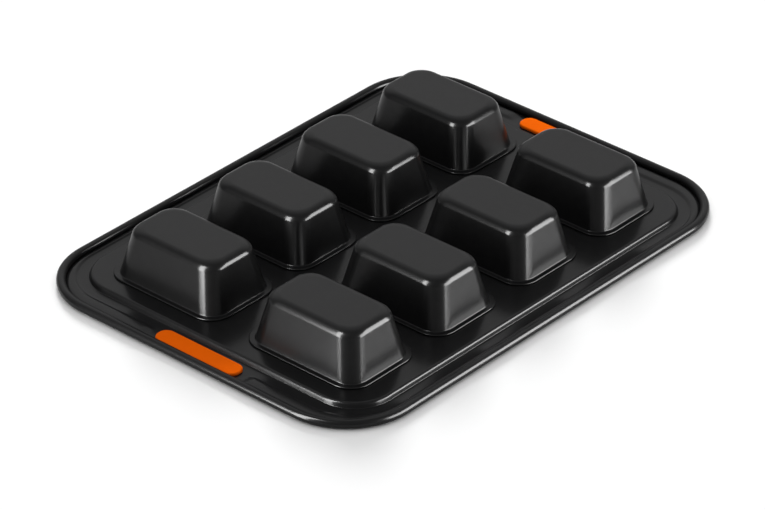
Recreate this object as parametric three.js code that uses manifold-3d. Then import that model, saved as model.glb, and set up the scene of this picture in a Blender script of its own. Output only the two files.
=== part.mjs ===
// Mini loaf cake pan: eight drawn steel loaf cups seamed into one pressed steel tray, with a
// wired rim and two silicone grips. Millimetres, +Z up. It lies upside down, as it is stored:
// it stands on its rolled rim, and the flat bases of the cups are on top.

import * as THREE from 'three';
import { mergeVertices } from 'three/addons/utils/BufferGeometryUtils.js';
import Module from 'manifold-3d';

// Sheet and fits
const sheet = 0.8;                 // steel thickness of the tray and of every cup
const fitGap = 0.3;                // play between pieces that touch

// Loaf cup
const cupBaseWidth = 35.2;         // flat of the base, across the loaf
const cupBaseLength = 67.6;        // flat of the base, along the loaf
const cupHeight = 35.4;            // base above the deck of the tray
const cupDraft = 9.5;              // degrees that the walls lean inwards
const baseRadius = 6.5;            // rounding between wall and base
const baseCorner = 12.5;           // plan corner of the flat
const wallCorner = 13.5;           // plan corner of the walls

// Seam that grips the edge of the hole in the tray
const seamWidth = 5.3;             // collar outside the foot of the wall
const collarCorner = 16.4;         // plan corner of the collar
const seamFootRadius = 1.5;        // bend between wall and collar
const lipWidth = 3.6;              // lip on the far side of the tray
const mouthRadius = 1.2;           // rounded mouth of the cup

// Pattern of cups
const cupsAlong = 4;
const cupsAcross = 2;
const cupGapAlong = 16.25;         // between collars, along the tray
const cupGapAcross = 22.5;         // between collars, across the tray

// Border of the tray, from the cups outwards; the ends are the short sides with the grips
const deckLandEnd = 10;            // flat deck outside the last collar
const deckLandSide = 15.6;
const deckCorner = 28;             // plan corner of the flat deck
const stepHeight = 3.6;            // deck above the channel
const crestRadius = 4;             // rounded edge of the deck
const footRadius = 2.5;            // bend at the foot of the step
const channelEnd = 5.7;
const channelSide = 1.1;
const ledgeRise = 1.0;             // ledge above the channel
const kerbEnd = 3.8;               // slope from the channel up to the ledge
const kerbSide = 2.2;
const ledgeSide = 3.1;

// Rolled rim round a steel wire
const wireDiameter = 4.2;
const rollReach = 5;               // from the ledge's outer edge to the wire's centre line
const rollSlit = 0.75;             // between the end of the roll and the sheet below it

// Silicone grip, a moulding that goes through a slot in each end of the tray
const gripLength = 72.4;
const gripWidth = 14.4;
const gripProud = 2.0;             // pad above its seat
const gripCorner = 6.8;
const gripEdgeRadius = 1.2;
const gripRimGap = 0.5;            // from the rolled rim
const gripStepGap = 2.8;           // from the foot of the step
const padHold = 4.2;               // pad outside the slot, all round
const lipHold = 2.3;               // lip outside the slot, all round
const gripLipThickness = 0.7;
const gripClear = 0.2;             // lip above the surface that the rim stands on
const ledgeBreak = 6.8;            // from each end of a grip to the end of the ledge
const ledgeFade = 3;               // length over which the ledge runs out

// Facets
const cupCornerSteps = 5;
const trayCornerSteps = 8;
const gripCornerSteps = 5;
const baseSteps = 4;
const bendSteps = 2;
const rollSteps = 9;
const wireSides = 8;
const fadeSteps = 2;

// Worked out: the cup's section, as distances out from the flat and heights above the deck
const draft = THREE.MathUtils.degToRad(cupDraft);
const baseOut = baseRadius * Math.cos(draft);
const baseDrop = baseRadius * (1 - Math.sin(draft));
const collarTop = fitGap + sheet;
const bendRise = seamFootRadius * (1 - Math.sin(draft));
const wallOut = (z) => baseOut + (cupHeight - baseDrop - z) * Math.tan(draft);
const footOut = wallOut(collarTop + bendRise);
const lipTop = -sheet - fitGap;
const lipBottom = lipTop - sheet;
const neckOut = wallOut(lipTop);
const collarOut = footOut + seamWidth;
const lipOut = neckOut + lipWidth;
const wallInset = sheet / Math.cos(draft);

// Worked out: levels of the upper face of the sheet
const channelLevel = gripClear + gripLipThickness + fitGap + sheet;
const ledgeLevel = channelLevel + ledgeRise;
const deckLevel = channelLevel + stepHeight;

// Worked out: the tray's section and the places on it
const collarWidth = cupBaseWidth + 2 * collarOut;
const collarLength = cupBaseLength + 2 * collarOut;
const pitchAlong = collarWidth + cupGapAlong;
const pitchAcross = collarLength + cupGapAcross;
const stepAngle = Math.acos(1 - stepHeight / (crestRadius + footRadius));
const stepRun = (crestRadius + footRadius) * Math.sin(stepAngle);
const wireRadius = wireDiameter / 2;
const rollInner = wireRadius + fitGap;
const rollOuter = rollInner + sheet;
const endBorder = gripStepGap + gripWidth + gripRimGap + rollOuter;
const sideBorder = channelSide + kerbSide + ledgeSide + rollReach;
const deckX = (cupsAlong - 1) * pitchAlong / 2 + collarWidth / 2 + deckLandEnd;
const deckY = (cupsAcross - 1) * pitchAcross / 2 + collarLength / 2 + deckLandSide;
const wireX = deckX + stepRun + endBorder;
const wireY = deckY + stepRun + sideBorder;
const gripX = wireX - rollOuter - gripRimGap - gripWidth / 2;
const ledgeStart = gripLength / 2 + ledgeBreak;

// Worked out: the slope down from the ledge, which touches the inside of the roll, and the
// angle round the wire at which the roll stops
const rollFall = ledgeLevel - rollOuter;
const rollDip = Math.asin(rollInner / Math.hypot(rollReach, rollFall))
  + Math.atan2(rollFall, rollReach);
const rollEnd = Math.PI + Math.asin((rollInner - rollSlit) / rollOuter) - rollDip;

const wasm = await Module();
wasm.setup();

// Outline of a rectangle with round corners, anticlockwise from the +X side; extraY lists
// further points on both short sides, from +Y to -Y
function roundedOutline(halfX, halfY, corner, steps, extraY = []) {
  const points = [];
  const corners = [[1, 1], [-1, 1], [-1, -1], [1, -1]];
  corners.forEach(([sx, sy], k) => {
    for (let i = 0; i <= steps; i++) {
      const turn = (k + i / steps) * Math.PI / 2;
      points.push(new THREE.Vector2(
        sx * (halfX - corner) + corner * Math.cos(turn),
        sy * (halfY - corner) + corner * Math.sin(turn)));
    }
    if (sx === sy) return;
    for (const y of extraY) points.push(new THREE.Vector2(sx * halfX, -sx * y));
  });
  return points;
}

// Closed surface through rings of equal point count: its two ends are flat caps, or the last
// ring joins the first
function loft(rings, closed = false) {
  const count = rings[0].length;
  const position = rings.flatMap((ring) => ring.flatMap((p) => [p.x, p.y, p.z]));
  const index = [];
  const spans = closed ? rings.length : rings.length - 1;
  for (let k = 0; k < spans; k++) {
    const near = k * count;
    const far = ((k + 1) % rings.length) * count;
    for (let i = 0; i < count; i++) {
      const j = (i + 1) % count;
      index.push(near + i, far + i, near + j, near + j, far + i, far + j);
    }
  }
  if (!closed) {
    const last = (rings.length - 1) * count;
    for (let i = 1; i < count - 1; i++) {
      index.push(0, i, i + 1);
      index.push(last, last + i + 1, last + i);
    }
  }
  const geometry = new THREE.BufferGeometry();
  geometry.setAttribute('position', new THREE.Float32BufferAttribute(position, 3));
  geometry.setIndex(index);
  return geometry;
}

// Points of an arc in a section, as [out, z], between two angles
function arc(centreOut, centreZ, radius, from, to, steps) {
  const points = [];
  for (let i = 0; i <= steps; i++) {
    const turn = from + (to - from) * i / steps;
    points.push([centreOut + radius * Math.cos(turn), centreZ + radius * Math.sin(turn)]);
  }
  return points;
}

// Angles that the arcs turn through
const outward = 0;
const upward = Math.PI / 2;
const inward = Math.PI;
const downward = Math.PI * 1.5;
const fullTurn = Math.PI * 2;

// Flat ring of an outline at one height
const ringAt = (outline, z) => outline.map((p) => new THREE.Vector3(p.x, p.y, z));

// Upright prism of an outline, for the cuts in the tray
function prism(outline, low, high) {
  const geometry = new THREE.ExtrudeGeometry(new THREE.Shape(outline), {
    depth: high - low,
    bevelEnabled: false,
  });
  return geometry.translate(0, 0, low);
}

// A closed geometry as a solid that can be cut
function solid(geometry) {
  const bare = geometry.clone();
  bare.deleteAttribute('normal');
  bare.deleteAttribute('uv');
  const merged = mergeVertices(bare);
  return new wasm.Manifold(new wasm.Mesh({
    numProp: 3,
    vertProperties: new Float32Array(merged.attributes.position.array),
    triVerts: new Uint32Array(merged.index.array),
  }));
}

// A cut solid as a geometry again
function surface(manifold) {
  const mesh = manifold.getMesh();
  const geometry = new THREE.BufferGeometry();
  geometry.setAttribute('position', new THREE.Float32BufferAttribute(mesh.vertProperties, 3));
  geometry.setIndex(Array.from(mesh.triVerts));
  return geometry;
}

// Plan corner of the cup's outer face, at a distance out from the flat of its base
function cupCorner(out) {
  if (out < baseOut) return baseCorner + (wallCorner - baseCorner) * out / baseOut;
  const share = Math.max(0, out - footOut) / seamWidth;
  return wallCorner + (collarCorner - wallCorner) * share;
}

// Ring of the cup at a distance out from the flat of its base; inner rings keep the sheet
// between themselves and the outer face
function cupRing(out, z, skin) {
  const outline = roundedOutline(cupBaseWidth / 2 + out, cupBaseLength / 2 + out,
    cupCorner(out + skin) - skin, cupCornerSteps);
  return ringAt(outline, z);
}

// One drawn cup: base, tapered wall, collar on the deck, neck through the hole, lip behind it
function loafCup() {
  const baseCentre = cupHeight - baseRadius;
  const foot = footOut + seamFootRadius * Math.cos(draft);
  const mouthRise = mouthRadius * (1 - Math.sin(draft));
  const mouth = wallOut(lipBottom + mouthRise) - wallInset + mouthRadius * Math.cos(draft);
  const outer = [
    ...arc(0, baseCentre, baseRadius, upward, draft, baseSteps),
    ...arc(foot, collarTop + seamFootRadius, seamFootRadius, inward + draft, downward, bendSteps),
    ...arc(collarOut - sheet, fitGap, sheet, upward, outward, bendSteps),
    [neckOut, fitGap],
    [neckOut, lipTop],
    [lipOut, lipTop],
    [lipOut, lipBottom],
  ];
  const inner = [
    ...arc(mouth, lipBottom + mouthRadius, mouthRadius, downward, inward + draft, bendSteps),
    ...arc(0, baseCentre, baseRadius - sheet, draft, upward, baseSteps),
  ];
  return loft([
    ...outer.map(([out, z]) => cupRing(out, z, 0)),
    ...inner.map(([out, z]) => cupRing(out, z, sheet)),
  ]);
}

// Places along a short side where the ledge runs out beside the grip, from +Y to -Y
function ledgeStations() {
  const stations = [];
  for (let i = 0; i <= fadeSteps; i++) stations.push(ledgeStart + ledgeFade * i / fadeSteps);
  return [...stations.toReversed(), ...stations.map((y) => -y)];
}

// Share of the ledge's height that is there: none beside the grip, all of it further along
function ledgeShare(point, halfX) {
  const onSide = Math.abs(point.x) < halfX - sheet;
  if (onSide) return 1;
  return THREE.MathUtils.smoothstep(Math.abs(point.y), ledgeStart, ledgeStart + ledgeFade);
}

// Plan corner of the tray's rings, which grows with them
const trayCorner = (halfX, halfY) => deckCorner + (halfX - deckX + halfY - deckY) / 2;

// Ring of the tray; lift is the share of the step up to the ledge that it stands on
function trayRing(halfX, halfY, z, lift = 0) {
  const outline = roundedOutline(halfX, halfY, trayCorner(halfX, halfY), trayCornerSteps,
    ledgeStations());
  const rise = lift * ledgeRise;
  return outline.map((p) => new THREE.Vector3(p.x, p.y, z + rise * ledgeShare(p, halfX)));
}

// Rings from the deck's edge to the ledge's outer edge, on the upper or the lower face
function borderRings(skin) {
  const step = [
    ...arc(0, deckLevel - crestRadius, crestRadius - skin, upward, upward - stepAngle, bendSteps),
    ...arc(stepRun, channelLevel + footRadius, footRadius + skin,
      downward - stepAngle, downward, bendSteps),
  ];
  const low = channelLevel - skin;
  const channelX = deckX + stepRun + channelEnd;
  const channelY = deckY + stepRun + channelSide;
  return [
    ...step.map(([out, z]) => trayRing(deckX + out, deckY + out, z)),
    trayRing(channelX, channelY, low),
    trayRing(channelX + kerbEnd / 2, channelY + kerbSide / 2, low, 0.5),
    trayRing(channelX + kerbEnd, channelY + kerbSide, low, 1),
    trayRing(wireX - rollReach, wireY - rollReach, low, 1),
  ];
}

// Rings of the roll round the wire, at a radius from its centre line
function rollRings(radius) {
  const section = arc(0, rollOuter, radius, downward - rollDip, fullTurn + rollEnd, rollSteps);
  return section.map(([out, z]) => trayRing(wireX + out, wireY + out, z));
}

// Places of the cups on the deck, named by row and number
function cupPlaces() {
  const places = [];
  for (let row = 0; row < cupsAcross; row++) {
    for (let i = 0; i < cupsAlong; i++) {
      places.push({
        name: `loaf_cup_${row + 1}_${i + 1}`,
        x: (i - (cupsAlong - 1) / 2) * pitchAlong,
        y: ((cupsAcross - 1) / 2 - row) * pitchAcross,
      });
    }
  }
  return places;
}

// Outline of the grip's pad, or of one that lies inset from it all round
const gripOutline = (inset) => roundedOutline(gripWidth / 2 - inset, gripLength / 2 - inset,
  gripCorner - inset, gripCornerSteps);

// The pressed tray: flat deck, step, channel, ledge and rolled rim in one sheet, with a hole
// for each cup and a slot for each grip
function tray() {
  let body = solid(loft([
    ...borderRings(0),
    ...rollRings(rollInner),
    ...rollRings(rollOuter).reverse(),
    ...borderRings(sheet).reverse(),
  ]));
  const holeOut = neckOut + fitGap;
  const hole = roundedOutline(cupBaseWidth / 2 + holeOut, cupBaseLength / 2 + holeOut,
    cupCorner(holeOut), cupCornerSteps);
  const high = deckLevel + sheet;
  for (const place of cupPlaces()) {
    body = body.subtract(solid(prism(hole, -sheet, high).translate(place.x, place.y, 0)));
  }
  for (const end of [-1, 1]) {
    const slot = prism(gripOutline(padHold), -sheet, high).translate(end * gripX, 0, 0);
    body = body.subtract(solid(slot));
  }
  return surface(body);
}

// The wire inside the roll, one closed loop
function rimWire() {
  const section = arc(0, rollOuter, wireRadius, fullTurn, 0, wireSides).slice(1);
  return loft(section.map(([out, z]) => {
    const halfX = wireX + out;
    const halfY = wireY + out;
    return ringAt(roundedOutline(halfX, halfY, trayCorner(halfX, halfY), trayCornerSteps), z);
  }), true);
}

// One silicone grip: rounded pad on its seat, neck through the slot, thin lip behind the sheet
function grip() {
  const seat = channelLevel + fitGap;
  const top = seat + gripProud;
  const lipSeat = channelLevel - sheet - fitGap;
  const edge = arc(-gripEdgeRadius, top - gripEdgeRadius, gripEdgeRadius, upward, outward, bendSteps);
  const ring = (inset, z) => ringAt(gripOutline(inset), z);
  return loft([
    ...edge.map(([out, z]) => ring(-out, z)),
    ring(0, seat),
    ring(padHold + fitGap, seat),
    ring(padHold + fitGap, lipSeat),
    ring(padHold - lipHold, lipSeat),
    ring(padHold - lipHold, lipSeat - gripLipThickness),
  ]);
}

// A named piece with a material of its own
function piece(name, geometry, finish, x = 0, y = 0, z = 0) {
  const mesh = new THREE.Mesh(geometry, new THREE.MeshStandardMaterial(finish));
  mesh.name = name;
  mesh.position.set(x, y, z);
  return mesh;
}

const coating = { color: 0x1c1c1d, roughness: 0.32, metalness: 0.35 };
const steel = { color: 0xb4b5b6, roughness: 0.4, metalness: 1 };
const silicone = { color: 0xd45800, roughness: 0.62, metalness: 0 };

const pan = new THREE.Group();
pan.add(piece('tray', tray(), coating));
pan.add(piece('rim_wire', rimWire(), steel));
for (const place of cupPlaces()) {
  pan.add(piece(place.name, loafCup(), coating, place.x, place.y, deckLevel));
}
pan.add(piece('grip_front', grip(), silicone, -gripX));
pan.add(piece('grip_back', grip(), silicone, gripX));

export default pan;
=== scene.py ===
# %% [markdown]
# # A mini loaf pan, upside down
# The pan is a pressed steel tray with eight drawn loaf cups, a wire in its rolled rim and two
# silicone grips. Tray and cups have a satin black non-stick coating. The CAD frame holds the
# right sizes, but its round edges are made of facets, and a glossy dark surface shows every facet
# as a broken reflection. So each piece is worked out again here as a smooth surface. It keeps the
# places and main sizes of the frame. The lean of the cup walls and the form of the border are set
# closer to the real pan. Then each piece gets its finish.

import math

import bpy
import numpy as np
from mathutils import Matrix, Vector
from mathutils.geometry import tessellate_polygon


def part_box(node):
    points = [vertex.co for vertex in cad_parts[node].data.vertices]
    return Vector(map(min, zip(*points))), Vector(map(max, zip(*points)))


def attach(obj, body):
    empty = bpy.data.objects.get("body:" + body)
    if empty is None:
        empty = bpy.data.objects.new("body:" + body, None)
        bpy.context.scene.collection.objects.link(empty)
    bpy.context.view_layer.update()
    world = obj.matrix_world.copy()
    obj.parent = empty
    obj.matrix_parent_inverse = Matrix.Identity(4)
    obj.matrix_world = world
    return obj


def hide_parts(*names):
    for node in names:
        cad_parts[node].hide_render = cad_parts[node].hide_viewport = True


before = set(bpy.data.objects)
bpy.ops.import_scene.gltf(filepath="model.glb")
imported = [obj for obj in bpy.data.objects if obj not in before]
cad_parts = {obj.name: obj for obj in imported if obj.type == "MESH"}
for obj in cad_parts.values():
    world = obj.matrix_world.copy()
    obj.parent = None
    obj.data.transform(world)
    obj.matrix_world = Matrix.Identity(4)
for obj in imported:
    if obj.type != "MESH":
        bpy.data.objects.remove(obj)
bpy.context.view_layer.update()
MM = 0.001
cup_nodes = sorted(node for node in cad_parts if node.startswith("loaf_cup"))


def corners(node):
    """Low and high corner of a CAD node's box."""
    return np.array(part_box(node))


def plan_middle(node, height):
    """Point at a height over the middle of a CAD node's box."""
    return np.append(corners(node).mean(axis=0)[:2], height)


print("nodes:", len(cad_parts), "cups:", len(cup_nodes))

# %% [markdown]
# ## Points round a rectangle
# Cups, tray, rim and grips all have the same plan: a rectangle with round corners. Blender
# could bevel a box for each of them, but then the rings of two pieces would not match. Here a
# ring is worked out once, as shares: every point is a fixed share of the half size plus a fixed
# share of the corner radius. Any rectangle then follows from one multiplication.

# %% Outline shares
def outline_shares(corner_steps, long_steps, short_steps):
    """Shares that place points round a rectangle with round corners, anticlockwise from +X.

    A corner point lies at sign * (half - corner) + corner * (cos, sin) of its angle. Its share
    of the half size is the sign, and its share of the corner radius is (cos, sin) - sign.
    Points on the straights are evenly spaced mixes of the corner points at their two ends.
    """
    signs = np.array([[1, 1], [-1, 1], [-1, -1], [1, -1]], float)
    turns = (np.arange(4)[:, None] + np.linspace(0, 1, corner_steps + 1)) * math.pi / 2
    unit = np.stack([np.cos(turns), np.sin(turns)], axis=-1)
    half_share = np.broadcast_to(signs[:, None], unit.shape)
    arcs = np.stack([half_share, unit - half_share])
    stretches = []
    for k, steps in enumerate((long_steps, short_steps) * 2):
        mix = np.linspace(0, 1, steps + 1)[1:-1, None]
        start = arcs[:, k, -1:]
        stop = arcs[:, (k + 1) % 4, :1]
        stretches += [arcs[:, k], start + (stop - start) * mix]
    return np.concatenate(stretches, axis=1)


def rings(shares, half, corner, height):
    """One ring of points for each station: shares times half size plus shares times corner."""
    half = np.asarray(half, float)[:, None, :]
    corner = np.asarray(corner, float)[:, None, None]
    plan = shares[0] * half + shares[1] * corner
    level = np.broadcast_to(np.asarray(height, float)[:, None, None], plan.shape[:2] + (1,))
    return np.concatenate([plan, level], axis=2)


def arc(out, z, radius, start, stop, steps):
    """Points (out, z) of a section on a circle between two angles, evenly spaced."""
    turn = np.linspace(start, stop, steps + 1)
    return np.stack([out + radius * np.cos(turn), z + radius * np.sin(turn)], axis=-1)


OUTWARD, UPWARD, INWARD, DOWNWARD = 0, math.pi / 2, math.pi, math.pi * 1.5
print("points round a test outline:", outline_shares(8, 4, 4).shape[1])

# %% [markdown]
# ## From rings to a mesh
# A section carried round an outline gives a grid of points: one ring for each station of the
# section. Neighbouring rings are joined by quads, all found at once from the ring and point
# numbers. The two ends are closed by a face, or the last ring joins the first.

# %% Lofting
CREASE = math.radians(40)


def ring_quads(stations, count, closed=False):
    """Quads between ring k and ring k + 1, for every point i and its neighbour i + 1."""
    k = np.arange(stations if closed else stations - 1)[:, None]
    i = np.arange(count)[None, :]
    near = k * count
    far = (k + 1) % stations * count
    j = (i + 1) % count
    return np.stack([near + i, far + i, far + j, near + j], axis=-1).reshape(-1, 4)


def make_piece(name, points, faces, nodes, crease=CREASE):
    """A smooth mesh object in the pan's own frame that stands for CAD nodes.

    Two faces that meet at more than the crease angle keep a sharp edge between them.
    """
    mesh = bpy.data.meshes.new(name)
    mesh.from_pydata(points.reshape(-1, 3).tolist(), [], faces)
    mesh.validate()
    mesh.shade_smooth()
    mesh.set_sharp_from_angle(angle=crease)
    piece = bpy.data.objects.new(name, mesh)
    bpy.context.scene.collection.objects.link(piece)
    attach(piece, "root")
    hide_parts(*nodes)
    return piece


def capped(points):
    """Faces of a loft with flat ends."""
    stations, count = points.shape[:2]
    faces = ring_quads(stations, count).tolist()
    faces.append(list(range(count)))
    faces.append(list(range(stations * count - 1, (stations - 1) * count - 1, -1)))
    return faces


print("faces of a test loft:", len(capped(np.zeros((3, 8, 3)))))

# %% [markdown]
# ## Loaf cups
# Each cup is drawn from one blank: a flat base, a rounded edge, a wall that leans inwards so
# that the loaf comes out, and at its foot a collar that lies on the tray. The free edge of the
# collar is round, as a hem is, and catches a thin line of light. Behind the tray the wall goes on
# through the hole as a neck and ends in a lip, so the edge of the sheet is held between collar
# and lip. One section describes all this, and the outline carries it round.

# %% Section of a cup
SHEET = 0.8 * MM
FIT_GAP = 0.3 * MM
CUP_BASE = np.array([35.2, 67.6]) * MM / 2
CUP_HEIGHT = 35.4 * MM
CUP_DRAFT = math.radians(11.7)
BASE_RADIUS = 6.5 * MM
BASE_CORNER = 12.5 * MM
WALL_CORNER = 13.5 * MM
COLLAR_CORNER = 16.4 * MM
SEAM_WIDTH = 4.07 * MM
SEAM_FOOT = 0.8 * MM
HEM_RADIUS = 0.6 * MM
LIP_WIDTH = 2.35 * MM
MOUTH_RADIUS = 1.2 * MM
FLAT_MARGIN = 1 * MM
EDGE_STEPS, INNER_EDGE_STEPS = 18, 14
FOOT_STEPS, HEM_STEPS, LIP_STEPS, MOUTH_STEPS = 8, 12, 8, 8

base_out = BASE_RADIUS * math.cos(CUP_DRAFT)
base_drop = BASE_RADIUS * (1 - math.sin(CUP_DRAFT))
collar_top = FIT_GAP + SHEET
lip_top = -SHEET - FIT_GAP
lip_bottom = lip_top - SHEET


def wall_out(z):
    """How far the outer wall stands out from the flat of the base at a height above the deck."""
    return base_out + (CUP_HEIGHT - base_drop - z) * math.tan(CUP_DRAFT)


foot_out = wall_out(collar_top + SEAM_FOOT * (1 - math.sin(CUP_DRAFT)))
neck_out = wall_out(lip_top)
collar_out = foot_out + SEAM_WIDTH


def cup_corner(out):
    """Plan corner: grows over the rounded edge, keeps on the wall, grows with the collar."""
    edge = BASE_CORNER + (WALL_CORNER - BASE_CORNER) * out / base_out
    share = np.maximum(0, out - foot_out) / SEAM_WIDTH
    return np.where(out < base_out, edge, WALL_CORNER + (COLLAR_CORNER - WALL_CORNER) * share)


def cup_section():
    """Stations (out, z, skin): base, edge, wall, collar, neck and lip, then back up inside."""
    edge_z = CUP_HEIGHT - BASE_RADIUS
    foot = foot_out + SEAM_FOOT * math.cos(CUP_DRAFT)
    mouth_rise = MOUTH_RADIUS * (1 - math.sin(CUP_DRAFT))
    mouth = wall_out(lip_bottom + mouth_rise) - SHEET / math.cos(CUP_DRAFT)
    mouth += MOUTH_RADIUS * math.cos(CUP_DRAFT)
    lip_edge = SHEET / 2
    outside = np.concatenate([
        [[-FLAT_MARGIN, CUP_HEIGHT]],
        arc(0, edge_z, BASE_RADIUS, UPWARD, CUP_DRAFT, EDGE_STEPS),
        arc(foot, collar_top + SEAM_FOOT, SEAM_FOOT, INWARD + CUP_DRAFT, DOWNWARD, FOOT_STEPS),
        arc(collar_out - HEM_RADIUS, FIT_GAP + HEM_RADIUS, HEM_RADIUS,
            UPWARD, -UPWARD, HEM_STEPS),
        [[neck_out, FIT_GAP], [neck_out, lip_top]],
        arc(neck_out + LIP_WIDTH - lip_edge, lip_top - lip_edge, lip_edge,
            UPWARD, -UPWARD, LIP_STEPS),
    ])
    inside = np.concatenate([
        arc(mouth, lip_bottom + MOUTH_RADIUS, MOUTH_RADIUS,
            DOWNWARD, INWARD + CUP_DRAFT, MOUTH_STEPS),
        arc(0, edge_z, BASE_RADIUS - SHEET, CUP_DRAFT, UPWARD, INNER_EDGE_STEPS),
        [[-FLAT_MARGIN, CUP_HEIGHT - SHEET]],
    ])
    skin = np.repeat([0, SHEET], [len(outside), len(inside)])
    return np.column_stack([np.concatenate([outside, inside]), skin])


section = cup_section()
print("stations in a cup's section:", len(section))

# %% [markdown]
# The same points serve all eight cups: each copy is only moved to the middle of its CAD node.
# Moving the points, not the object, keeps every object at the origin, where its patterns stay
# in place.

# %% Eight cups
cup_shares = outline_shares(corner_steps=22, long_steps=8, short_steps=8)
out, z, skin = section.T
cup_points = rings(cup_shares, CUP_BASE + out[:, None], cup_corner(out + skin) - skin, z)
cup_faces = capped(cup_points)
deck_level = corners(cup_nodes[0])[0, 2] - lip_bottom
cups = []
for node in cup_nodes:
    name = node.replace("loaf_cup", "cup")
    placed = cup_points + plan_middle(node, deck_level)
    cups.append(make_piece(name, placed, cup_faces, [node]))
print("cups:", len(cups), "faces in each:", len(cup_faces))

# %% [markdown]
# ## Tray
# The tray is one sheet: a flat deck, a steep step with a round crest down to a channel, a low
# ledge, and a rim that dips under a wire and rolls back over it. The section is a list of
# stations with their distance out from the deck's edge on the short ends and on the long sides,
# because the border is wider at the ends, where the grips sit. The ledge stops beside each grip,
# so its stations carry a share of the ledge's height, which fades to nothing there.

# %% Section of the border
CREST_RADIUS = 2.4 * MM
FOOT_RADIUS = 0.6 * MM
STEP_HEIGHT = 3.6 * MM
STEP_ANGLE = math.radians(68)
CHANNEL = 6.8 * MM
KERB = np.array([3.8, 1.8]) * MM
LEDGE_RISE = 1.0 * MM
DECK_CORNER = 28 * MM
WIRE_RADIUS = 2.1 * MM
ROLL_REACH = 5 * MM
ROLL_SLIT = 0.75 * MM
BEND_RADIUS = 2.4 * MM
BEND_LOSS = 0.4
GRIP_STEP_GAP = 3.9 * MM
SIDE_BORDER = 14.8 * MM
CREST_STEPS, STEP_FOOT_STEPS, KERB_STEPS, BEND_STEPS, ROLL_STEPS = 12, 10, 8, 4, 36

channel_level = deck_level - STEP_HEIGHT
ledge_level = channel_level + LEDGE_RISE
roll_inner = WIRE_RADIUS + FIT_GAP
roll_outer = roll_inner + SHEET
step_run = (CREST_RADIUS + FOOT_RADIUS) * math.tan(STEP_ANGLE / 2)
step_run += STEP_HEIGHT / math.tan(STEP_ANGLE)
grip_low, grip_high = corners("grip_back")
wire_half = corners("rim_wire")[1, :2] - WIRE_RADIUS
deck_half = np.array([grip_low[0] - GRIP_STEP_GAP, wire_half[1] - SIDE_BORDER]) - step_run
roll_fall = ledge_level - roll_outer
roll_dip = math.asin(roll_inner / math.hypot(ROLL_REACH, roll_fall))
roll_dip += math.atan2(roll_fall, ROLL_REACH)
roll_end = 2 * math.pi + INWARD + math.asin((roll_inner - ROLL_SLIT) / roll_outer) - roll_dip


def tray_corner(half):
    """Plan corner of a ring: grows by the mean of what the ring grows on its two sides."""
    return DECK_CORNER + (half - deck_half).mean(axis=-1)


def smooth_step(value, low, high):
    """0 below low, 1 above high, and 3t^2 - 2t^3 between them, with t the share of the way."""
    t = np.clip((value - low) / (high - low), 0, 1)
    return t * t * (3 - 2 * t)


def border_stations(skin):
    """Stations (out at the ends, out at the sides, z, lift) from the deck to the rim's bend.

    The lift is a share of the ledge's height. It rises across the kerb in a smooth S, and
    towards the end of the bend BEND_LOSS of it is lost again.
    """
    step = np.concatenate([
        [[-FLAT_MARGIN, deck_level - skin]],
        arc(0, deck_level - CREST_RADIUS, CREST_RADIUS - skin,
            UPWARD, UPWARD - STEP_ANGLE, CREST_STEPS),
        arc(step_run, channel_level + FOOT_RADIUS, FOOT_RADIUS + skin,
            DOWNWARD - STEP_ANGLE, DOWNWARD, STEP_FOOT_STEPS),
    ])
    t = np.linspace(0, 1, KERB_STEPS + 1)
    kerb = step_run + CHANNEL + t[:, None] * KERB
    low = channel_level - skin
    bend = np.linspace(-0.5, 0.5, BEND_STEPS + 1) * BEND_RADIUS
    rim = wire_half - deck_half - ROLL_REACH + bend[:, None]
    turn = np.linspace(0, 1, BEND_STEPS + 1)
    drop = BEND_RADIUS * math.tan(roll_dip) / 2 * turn * turn
    return np.concatenate([
        np.column_stack([step[:, [0, 0, 1]], np.zeros(len(step))]),
        np.column_stack([kerb, np.full(len(t), low), smooth_step(t, 0, 1)]),
        np.column_stack([rim, low - drop, 1 - BEND_LOSS * turn * turn]),
    ])


def roll_stations(radius):
    """Stations of the roll: an arc round the wire, from the dip to the end of the roll."""
    points = arc(0, roll_outer, radius, DOWNWARD - roll_dip, roll_end, ROLL_STEPS)
    out = points[:, :1] + (wire_half - deck_half)
    return np.column_stack([out, points[:, 1], np.zeros(len(points))])


stations = np.concatenate([
    border_stations(0),
    roll_stations(roll_inner),
    roll_stations(roll_outer)[::-1],
    border_stations(SHEET)[::-1],
])
print("stations in the tray's section:", len(stations))

# %% [markdown]
# The rings of the border go round the outline like those of the cups. Then the ledge is raised:
# a smooth step along each short end leaves a flat seat for the grip.

# %% Rings of the border
LEDGE_BREAK = 5 * MM
LEDGE_FADE = 8 * MM
END_BAND = 0.8 * MM

tray_shares = outline_shares(corner_steps=28, long_steps=24, short_steps=150)
tray_half = deck_half + stations[:, :2]
tray_points = rings(tray_shares, tray_half, tray_corner(tray_half), stations[:, 2])
ledge_start = (grip_high[1] - grip_low[1]) / 2 + LEDGE_BREAK
on_side = np.abs(tray_points[..., 0]) < tray_half[:, :1] - END_BAND
along = smooth_step(np.abs(tray_points[..., 1]), ledge_start, ledge_start + LEDGE_FADE)
tray_points[..., 2] += LEDGE_RISE * stations[:, 3:] * np.where(on_side, 1, along)
print("points in the border:", tray_points.shape[0] * tray_points.shape[1])

# %% [markdown]
# ## Deck with holes
# The deck is a flat face with eight holes. A Boolean modifier could punch them, but it would
# leave thin slivers beside the edges. The outline of the deck and the outlines of the holes are
# all known points, so Blender's polygon filler joins them into triangles, once for the upper
# face, and the same triangles turned over serve the lower face.

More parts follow.
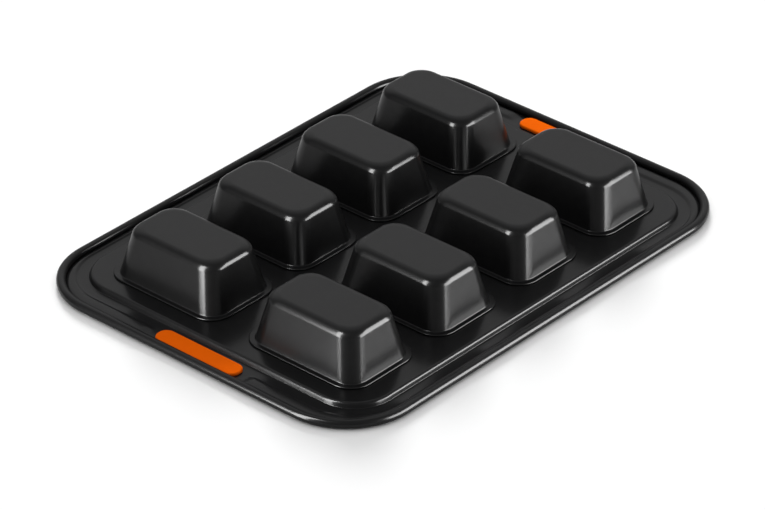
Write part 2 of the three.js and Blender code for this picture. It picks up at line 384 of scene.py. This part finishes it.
# %% Deck
hole_out = neck_out + FIT_GAP
hole_shares = outline_shares(corner_steps=16, long_steps=6, short_steps=6)
hole = rings(hole_shares, [CUP_BASE + hole_out], cup_corner(np.array([hole_out])), [0])[0]
centres = np.array([plan_middle(node, 0) for node in cup_nodes])
hole_points = hole[None] + centres[:, None]
loops = [tray_points[0] * [1, 1, 0], *hole_points]
triangles = np.array(tessellate_polygon([[Vector(p) for p in loop] for loop in loops]))
flat = np.concatenate(loops)
a, b, c = (flat[triangles[:, k], :2] for k in range(3))
turned = np.cross(b - a, c - a) < 0
triangles[turned] = triangles[turned][:, ::-1]
print("triangles in the deck:", len(triangles))

# %% [markdown]
# The filler numbers its points loop by loop. Here those numbers become numbers of the whole
# tray: the first ring and the upper edges of the holes for the upper face, the last ring and the
# lower edges for the lower face. A short wall joins the two edges of each hole.

# %% Pressed tray
count = tray_points.shape[1]
hole_count = len(hole)
border_total = tray_points.shape[0] * count
last_ring = border_total - count
upper = np.concatenate([np.arange(count), border_total + np.arange(len(cup_nodes) * hole_count)])
lower = np.concatenate([last_ring + np.arange(count),
                        upper[count:] + len(cup_nodes) * hole_count])
hole_start = np.arange(len(cup_nodes))[:, None] * hole_count + count
hole_step = np.arange(hole_count)[None, :]
here = (hole_start + hole_step).ravel()
there = (hole_start + (hole_step + 1) % hole_count).ravel()
hole_walls = np.stack([upper[here], upper[there], lower[there], lower[here]], axis=-1)
rims = [hole_points + [0, 0, level] for level in (deck_level, deck_level - SHEET)]
points = np.concatenate([surface.reshape(-1, 3) for surface in (tray_points, *rims)])
faces = ring_quads(tray_points.shape[0], count).tolist()
faces += upper[triangles].tolist()
faces += lower[triangles[:, ::-1]].tolist()
faces += hole_walls.tolist()
tray = make_piece("pressed_tray", points, faces, ["tray"])
print("faces in the tray:", len(faces))

# %% [markdown]
# ## Rim wire
# A steel wire runs inside the roll and stiffens the rim. Only a thread of it shows through the
# slit of the roll, but seen from below it is there. A circle carried round the rim's outline
# closes on itself in both directions.

# %% Wire
WIRE_STEPS = 20

wire_section = arc(0, roll_outer, WIRE_RADIUS, 2 * math.pi, 0, WIRE_STEPS)[1:]
wire_shares = outline_shares(corner_steps=28, long_steps=12, short_steps=8)
wire_rings = wire_half + wire_section[:, :1]
wire_points = rings(wire_shares, wire_rings, tray_corner(wire_rings), wire_section[:, 1])
wire_faces = ring_quads(*wire_points.shape[:2], closed=True).tolist()
wire = make_piece("rim_wire_loop", wire_points, wire_faces, ["rim_wire"])
print("faces in the wire:", len(wire_faces))

# %% [markdown]
# ## Silicone grips
# Each grip is one moulding: a pad with a soft rounded edge on the seat, a neck through the sheet
# and a thin lip behind it. Its rings are all inset from the same pad outline, so the section
# needs only the inset and the height. The pad is crowned a little, as a moulding is.

# %% Grips
GRIP_CORNER = 6.8 * MM
GRIP_EDGE = 1.2 * MM
PAD_HOLD = 4.2 * MM
LIP_HOLD = 2.3 * MM
GRIP_CROWN = 0.15 * MM
CROWN_FLAT = 2 * MM
CROWN_RUN = 4 * MM
LEAST_CORNER = 0.4 * MM
CROWN_STEPS, GRIP_EDGE_STEPS = 4, 10
GRIP_CREASE = math.radians(60)

grip_half = (grip_high - grip_low)[:2] / 2
grip_seat = channel_level + FIT_GAP
grip_lip_seat = channel_level - SHEET - FIT_GAP


def grip_section():
    """Stations (inset, z): crowned pad, rounded edge, seat, neck, lip."""
    top = grip_high[2] - GRIP_CROWN
    inner = np.linspace(grip_half[0] - CROWN_FLAT, GRIP_EDGE, CROWN_STEPS + 1)[:-1]
    bulge = 1 - (1 - inner / grip_half[0]) ** 2
    crown = top + GRIP_CROWN * bulge * smooth_step(inner, 0, CROWN_RUN)
    edge = arc(-GRIP_EDGE, top - GRIP_EDGE, GRIP_EDGE, UPWARD, OUTWARD, GRIP_EDGE_STEPS) * [-1, 1]
    neck = PAD_HOLD + FIT_GAP
    lip = PAD_HOLD - LIP_HOLD
    rest = [[0, grip_seat], [neck, grip_seat], [neck, grip_lip_seat], [lip, grip_lip_seat],
            [lip, grip_low[2]]]
    return np.concatenate([np.column_stack([inner, crown]), edge, rest])


inset, level = grip_section().T
grip_shares = outline_shares(corner_steps=14, long_steps=3, short_steps=24)
grip_points = rings(grip_shares, grip_half - inset[:, None],
                    np.maximum(GRIP_CORNER - inset, LEAST_CORNER), level)
grip_faces = capped(grip_points)
grips = []
for node in ("grip_front", "grip_back"):
    placed = grip_points + plan_middle(node, 0)
    grips.append(make_piece(node + "_pad", placed, grip_faces, [node], GRIP_CREASE))
print("grips:", len(grips))

# %% [markdown]
# ## Shader maths as Python
# Materials are node graphs, and a graph of Math nodes is hard to read. This small class wraps
# an output socket: an operator on it adds a Math node, and one method adds any other node.

# %% Wrapped sockets
class Paint:
    """An output socket of a node tree, so that shader maths reads as Python."""

    def __init__(self, tree, socket=None):
        self.tree = tree
        self.socket = socket

    def node(self, kind, settings=None, inputs=None, output=0):
        """Add a node: its settings first, then a value or a link for each input."""
        made = self.tree.nodes.new(kind)
        for name, value in (settings or {}).items():
            setattr(made, name, value)
        for name, value in (inputs or {}).items():
            if isinstance(value, Paint):
                self.tree.links.new(value.socket, made.inputs[name])
            else:
                made.inputs[name].default_value = value
        return Paint(self.tree, made.outputs[output])

    def math(self, operation, first, second):
        """Add a Math node on two values."""
        return self.node("ShaderNodeMath", {"operation": operation}, {0: first, 1: second})

    def __add__(self, other):
        return self.math("ADD", self, other)

    def __radd__(self, other):
        return self.math("ADD", other, self)

    def __mul__(self, other):
        return self.math("MULTIPLY", self, other)

    def __rmul__(self, other):
        return self.math("MULTIPLY", other, self)

    def noise(self, scale, detail=2.0):
        """Noise on Object coordinates, with scale in cycles per metre, from 0 to 1."""
        place = self.node("ShaderNodeTexCoord", output="Object")
        return self.node("ShaderNodeTexNoise", {}, {"Vector": place, "Scale": scale,
                                                    "Detail": detail})

    def mix(self, share, first, second):
        """Colour that goes from first to second as share goes from 0 to 1."""
        return self.node("ShaderNodeMix", {"data_type": "RGBA"},
                         {0: share, 6: first, 7: second}, output=2)

    def bump(self, height, distance):
        """Normal of a surface raised by height times distance."""
        return self.node("ShaderNodeBump", {}, {"Height": height, "Distance": distance})


def new_finish(name, constants):
    """A material with one shader, whose constants are set on its own sockets."""
    material = bpy.data.materials.new(name)
    material.use_nodes = True
    shader = material.node_tree.nodes["Principled BSDF"]
    for socket, value in constants.items():
        shader.inputs[socket].default_value = value
    return material, shader, Paint(material.node_tree)


def feed(paint, shader, **varying):
    """Link what varies over the surface to the shader's sockets."""
    for socket, value in varying.items():
        paint.tree.links.new(value.socket, shader.inputs[socket.replace("_", " ")])


print("methods of a wrapped socket:", sum(callable(member) for member in vars(Paint).values()))

# %% [markdown]
# ## Non-stick coating
# The coating is sprayed and baked on the steel: a rough near-black film with a thin smooth skin
# over it. The film gives a broad faint sheen, and the skin gives the sharp bright lines. One gloss
# can't give both, so the shader has a rough base under a smooth coat, both of them weak. Close up
# the film has a fine grain, the dried droplets, so the colour has a faint mottle and two noises
# bend the surface a little: droplets about 1.5 mm apart, and a slow wave from the pressing.

# %% Coating
COATING_DARK = (0.0058, 0.0058, 0.0061, 1)
COATING_LIGHT = (0.0095, 0.0095, 0.0098, 1)
FILM_ROUGHNESS = 0.34
FILM_SPREAD = 0.08
DROPLET_SHARE = 0.4
WAVE_SHARE = 0.5
GRAIN_DEPTH = 0.1 * MM

coating, shader, paint = new_finish("non_stick_coating", {
    "IOR": 1.10, "Coat Weight": 0.44, "Coat Roughness": 0.19, "Coat IOR": 1.45})
droplets = paint.noise(scale=700, detail=3)
mottle = paint.noise(scale=160)
wave = paint.noise(scale=28, detail=1)
feed(paint, shader,
     Base_Color=paint.mix(mottle, COATING_DARK, COATING_LIGHT),
     Roughness=FILM_ROUGHNESS + FILM_SPREAD * mottle + FILM_SPREAD * droplets,
     Normal=paint.bump(droplets * DROPLET_SHARE + wave * WAVE_SHARE, GRAIN_DEPTH))
print("coating nodes:", len(paint.tree.nodes))

# %% [markdown]
# ## Silicone
# Moulded silicone is matte: it has hardly any shine, and faint clouds of a deeper colour. The
# mould is lightly blasted, so a fine bump keeps it from looking like gloss plastic.

# %% Silicone
ORANGE = (0.86, 0.127, 0.0005, 1)
ORANGE_DEEP = (0.81, 0.114, 0.0005, 1)
SILICONE_ROUGHNESS = 0.5
SILICONE_SPREAD = 0.15
BLAST_DEPTH = 0.03 * MM

silicone, shader, paint = new_finish("orange_silicone", {"Specular IOR Level": 0.01})
cloud = paint.noise(scale=220, detail=3)
blast = paint.noise(scale=2600)
feed(paint, shader,
     Base_Color=paint.mix(cloud, ORANGE_DEEP, ORANGE),
     Roughness=SILICONE_ROUGHNESS + SILICONE_SPREAD * blast,
     Normal=paint.bump(blast, BLAST_DEPTH))
print("silicone nodes:", len(paint.tree.nodes))

# %% [markdown]
# ## Drawn wire
# The wire is bare steel, drawn through a die, so it has faint streaks. It is almost hidden.

# %% Wire steel
WIRE_PALE = (0.56, 0.56, 0.57, 1)
WIRE_GREY = (0.42, 0.42, 0.43, 1)
WIRE_ROUGHNESS = 0.28
WIRE_SPREAD = 0.2

steel, shader, paint = new_finish("drawn_wire", {"Metallic": 1.0})
streaks = paint.noise(scale=700, detail=3)
feed(paint, shader,
     Base_Color=paint.mix(streaks, WIRE_GREY, WIRE_PALE),
     Roughness=WIRE_ROUGHNESS + WIRE_SPREAD * streaks)
print("wire nodes:", len(paint.tree.nodes))

# %% [markdown]
# Each piece has one finish: the coating on tray and cups, bare steel on the wire and silicone on
# the grips.

# %% Finishes on the pieces
dressed = [(coating, [tray, *cups]), (steel, [wire]), (silicone, grips)]
for finish, pieces in dressed:
    for piece in pieces:
        piece.data.materials.append(finish)
print("pieces of each finish:", {finish.name: len(pieces) for finish, pieces in dressed})

# %% [markdown]
# ## Floor
# The pan lies on a plain white acrylic sheet. A big square takes the light and the soft shadow
# under the rim, and it is also what the walls of the cups reflect. The sheet has a faint gloss,
# so it doubles the panels that stand on it, and the walls mirror those too.

# %% Floor
FLOOR_HALF = 8.0
FLOOR_WHITE = (0.95, 0.95, 0.95, 1)
FLOOR_DUSTY = (0.94, 0.94, 0.94, 1)

mesh = bpy.data.meshes.new("floor")
square = np.array([[-1, -1, 0], [1, -1, 0], [1, 1, 0], [-1, 1, 0]]) * FLOOR_HALF
mesh.from_pydata(square.tolist(), [], [[0, 1, 2, 3]])
floor = bpy.data.objects.new("floor", mesh)
bpy.context.scene.collection.objects.link(floor)
acrylic, shader, paint = new_finish("white_acrylic", {"Roughness": 0.22, "IOR": 1.06})
feed(paint, shader, Base_Color=paint.mix(paint.noise(scale=40), FLOOR_WHITE, FLOOR_DUSTY))
floor.data.materials.append(acrylic)
print("floor half size:", FLOOR_HALF)

# %% [markdown]
# ## Camera
# The camera looks down at the pan across one corner with a long lens, so parallel edges stay
# almost parallel. Its angles and distance come from matching the rims and cups of the model to
# the picture. Its axes are built from the viewing direction, as a surveyor would: right is level,
# up is square to both, and a small roll turns the two.

# %% Camera
IMAGE_WIDTH = 765
FOCAL_PIXELS = 4734.4
VIEW_AZIMUTH = math.radians(41.178)
VIEW_ELEVATION = math.radians(31.719)
VIEW_ROLL = math.radians(0.273)
VIEW_DISTANCE = 3202.1 * MM
VIEW_OFFSET = np.array([-3.095, -11.804]) * MM
VIEW_LEVEL = 6.0 * MM

forward = np.array([math.cos(VIEW_ELEVATION) * math.cos(VIEW_AZIMUTH),
                    math.cos(VIEW_ELEVATION) * math.sin(VIEW_AZIMUTH),
                    -math.sin(VIEW_ELEVATION)])
level_right = np.cross(forward, [0, 0, 1])
level_right /= np.linalg.norm(level_right)
level_up = np.cross(level_right, forward)
right = math.cos(VIEW_ROLL) * level_right + math.sin(VIEW_ROLL) * level_up
up = math.cos(VIEW_ROLL) * level_up - math.sin(VIEW_ROLL) * level_right
eye = np.array([0, 0, VIEW_LEVEL]) - forward * VIEW_DISTANCE
eye += right * VIEW_OFFSET[0] + up * VIEW_OFFSET[1]
camera_data = bpy.data.cameras.new("camera")
camera_data.sensor_fit = "HORIZONTAL"
camera_data.lens = FOCAL_PIXELS * camera_data.sensor_width / IMAGE_WIDTH
camera_data.clip_end = 100
camera = bpy.data.objects.new("camera", camera_data)
axes = np.column_stack([right, up, -forward, eye])
camera.matrix_world = Matrix(np.vstack([axes, [0, 0, 0, 1]]).tolist())
bpy.context.scene.collection.objects.link(camera)
bpy.context.scene.camera = camera
print("lens:", round(camera_data.lens, 1), "mm")

# %% [markdown]
# ## Light
# A glossy dark object is drawn by what it reflects. A long low panel on the right makes the
# bright line along the edges that face it. A tall narrow one on the left makes the spot and the
# stripe on the near corner of each cup. Both stand on the floor close by, so the cups near them
# mirror them wider than the far ones do, and they are seen in reflections only. The light on the
# floor and on the grips comes from two soft lamps that are left out of the reflections: one
# behind the pan, which lays the shadow in front, and a wide one overhead, which lightens it.

# %% Lamps
def bearing(azimuth, elevation):
    """Unit vector at an azimuth from +X towards +Y and an elevation, both in degrees."""
    turn, rise = math.radians(azimuth), math.radians(elevation)
    return Vector((math.cos(rise) * math.cos(turn), math.cos(rise) * math.sin(turn),
                   math.sin(rise)))


def link_lamp(name, data, place, towards, **visibility):
    """Put a lamp in the scene, facing along a direction, hidden from the camera itself."""
    lamp = bpy.data.objects.new(name, data)
    lamp.location = place
    lamp.rotation_euler = towards.to_track_quat("-Z", "Y").to_euler()
    lamp.visible_camera = False
    for ray, seen in visibility.items():
        setattr(lamp, ray, seen)
    bpy.context.scene.collection.objects.link(lamp)
    return lamp


def soft_box(name, foot_a, foot_b, top, radiance):
    """A lit panel that stands on the floor between two points, with its face to the pan.

    Its width is the distance between the points, its middle is halfway between them and halfway
    up, and its face is square to the line between them. Its power follows from its radiance.
    """
    foot_a = Vector((*foot_a, 0))
    foot_b = Vector((*foot_b, 0))
    across = foot_b - foot_a
    middle = (foot_a + foot_b) / 2
    towards = across.cross(Vector((0, 0, 1))).normalized()
    if towards.dot(middle) > 0:
        towards = -towards
    data = bpy.data.lights.new(name, "AREA")
    data.shape = "RECTANGLE"
    data.size = across.length
    data.size_y = top
    data.energy = radiance * math.pi * across.length * top
    place = middle + Vector((0, 0, top / 2))
    return link_lamp(name, data, place, towards, visible_diffuse=False)


right_box = soft_box("right_box", foot_a=(-0.05, -0.99), foot_b=(0.62, -0.57), top=0.52,
                     radiance=25)
left_box = soft_box("left_box", foot_a=(-0.65, 0.25), foot_b=(-0.55, -0.03), top=0.8,
                    radiance=35)


def soft_sun(name, azimuth, elevation, angle, energy):
    """Light of a far lamp that looks as wide as angle, in degrees, and that no mirror shows."""
    data = bpy.data.lights.new(name, "SUN")
    data.energy = energy
    data.angle = math.radians(angle)
    place = bearing(azimuth, elevation)
    return link_lamp(name, data, place, -place, visible_glossy=False)


key_lamp = soft_sun("key", azimuth=45, elevation=22, angle=16, energy=2.9)
fill_lamp = soft_sun("fill", azimuth=45, elevation=72, angle=120, energy=1.06)
print("lamps:", [lamp.name for lamp in (right_box, left_box, key_lamp, fill_lamp)])

# %% [markdown]
# The room is dim. A pale backdrop stands high behind the pan, where the flat bases mirror it,
# and fades towards the horizon, so the rounded edges at the back stay as dark as the bases.

# %% World
BACKDROP = bearing(azimuth=41, elevation=38)
BACKDROP_EDGE = 0.5
HORIZON_FADE = (0.05, 0.45)
ROOM_DIM = 0.3
ROOM_PALE = 0.86


def ramp(value, low, high):
    """Smooth step of a socket: 0 below low, 1 above high."""
    return value.node("ShaderNodeMapRange", {"interpolation_type": "SMOOTHSTEP"},
                      {"Value": value, "From Min": low, "From Max": high})


world = bpy.data.worlds.new("room")
bpy.context.scene.world = world
world.use_nodes = True
sky = Paint(world.node_tree)
direction = sky.node("ShaderNodeTexCoord", output="Generated")
towards = sky.node("ShaderNodeVectorMath", {"operation": "DOT_PRODUCT"},
                   {0: direction, 1: tuple(BACKDROP)}, output="Value")
rise = sky.node("ShaderNodeSeparateXYZ", {}, {"Vector": direction}, output="Z")
backdrop = ramp(towards, BACKDROP_EDGE, 1) * ramp(rise, *HORIZON_FADE)
strength = ROOM_DIM + (ROOM_PALE - ROOM_DIM) * backdrop
background = world.node_tree.nodes["Background"]
sky.tree.links.new(strength.socket, background.inputs["Strength"])
background.inputs["Color"].default_value = (1, 1, 1, 1)
print("room:", ROOM_DIM, "to", ROOM_PALE)

# %% [markdown]
# ## Finish
# The picture is shown without a film look.

# %% Finish
bpy.context.scene.view_settings.view_transform = "Standard"
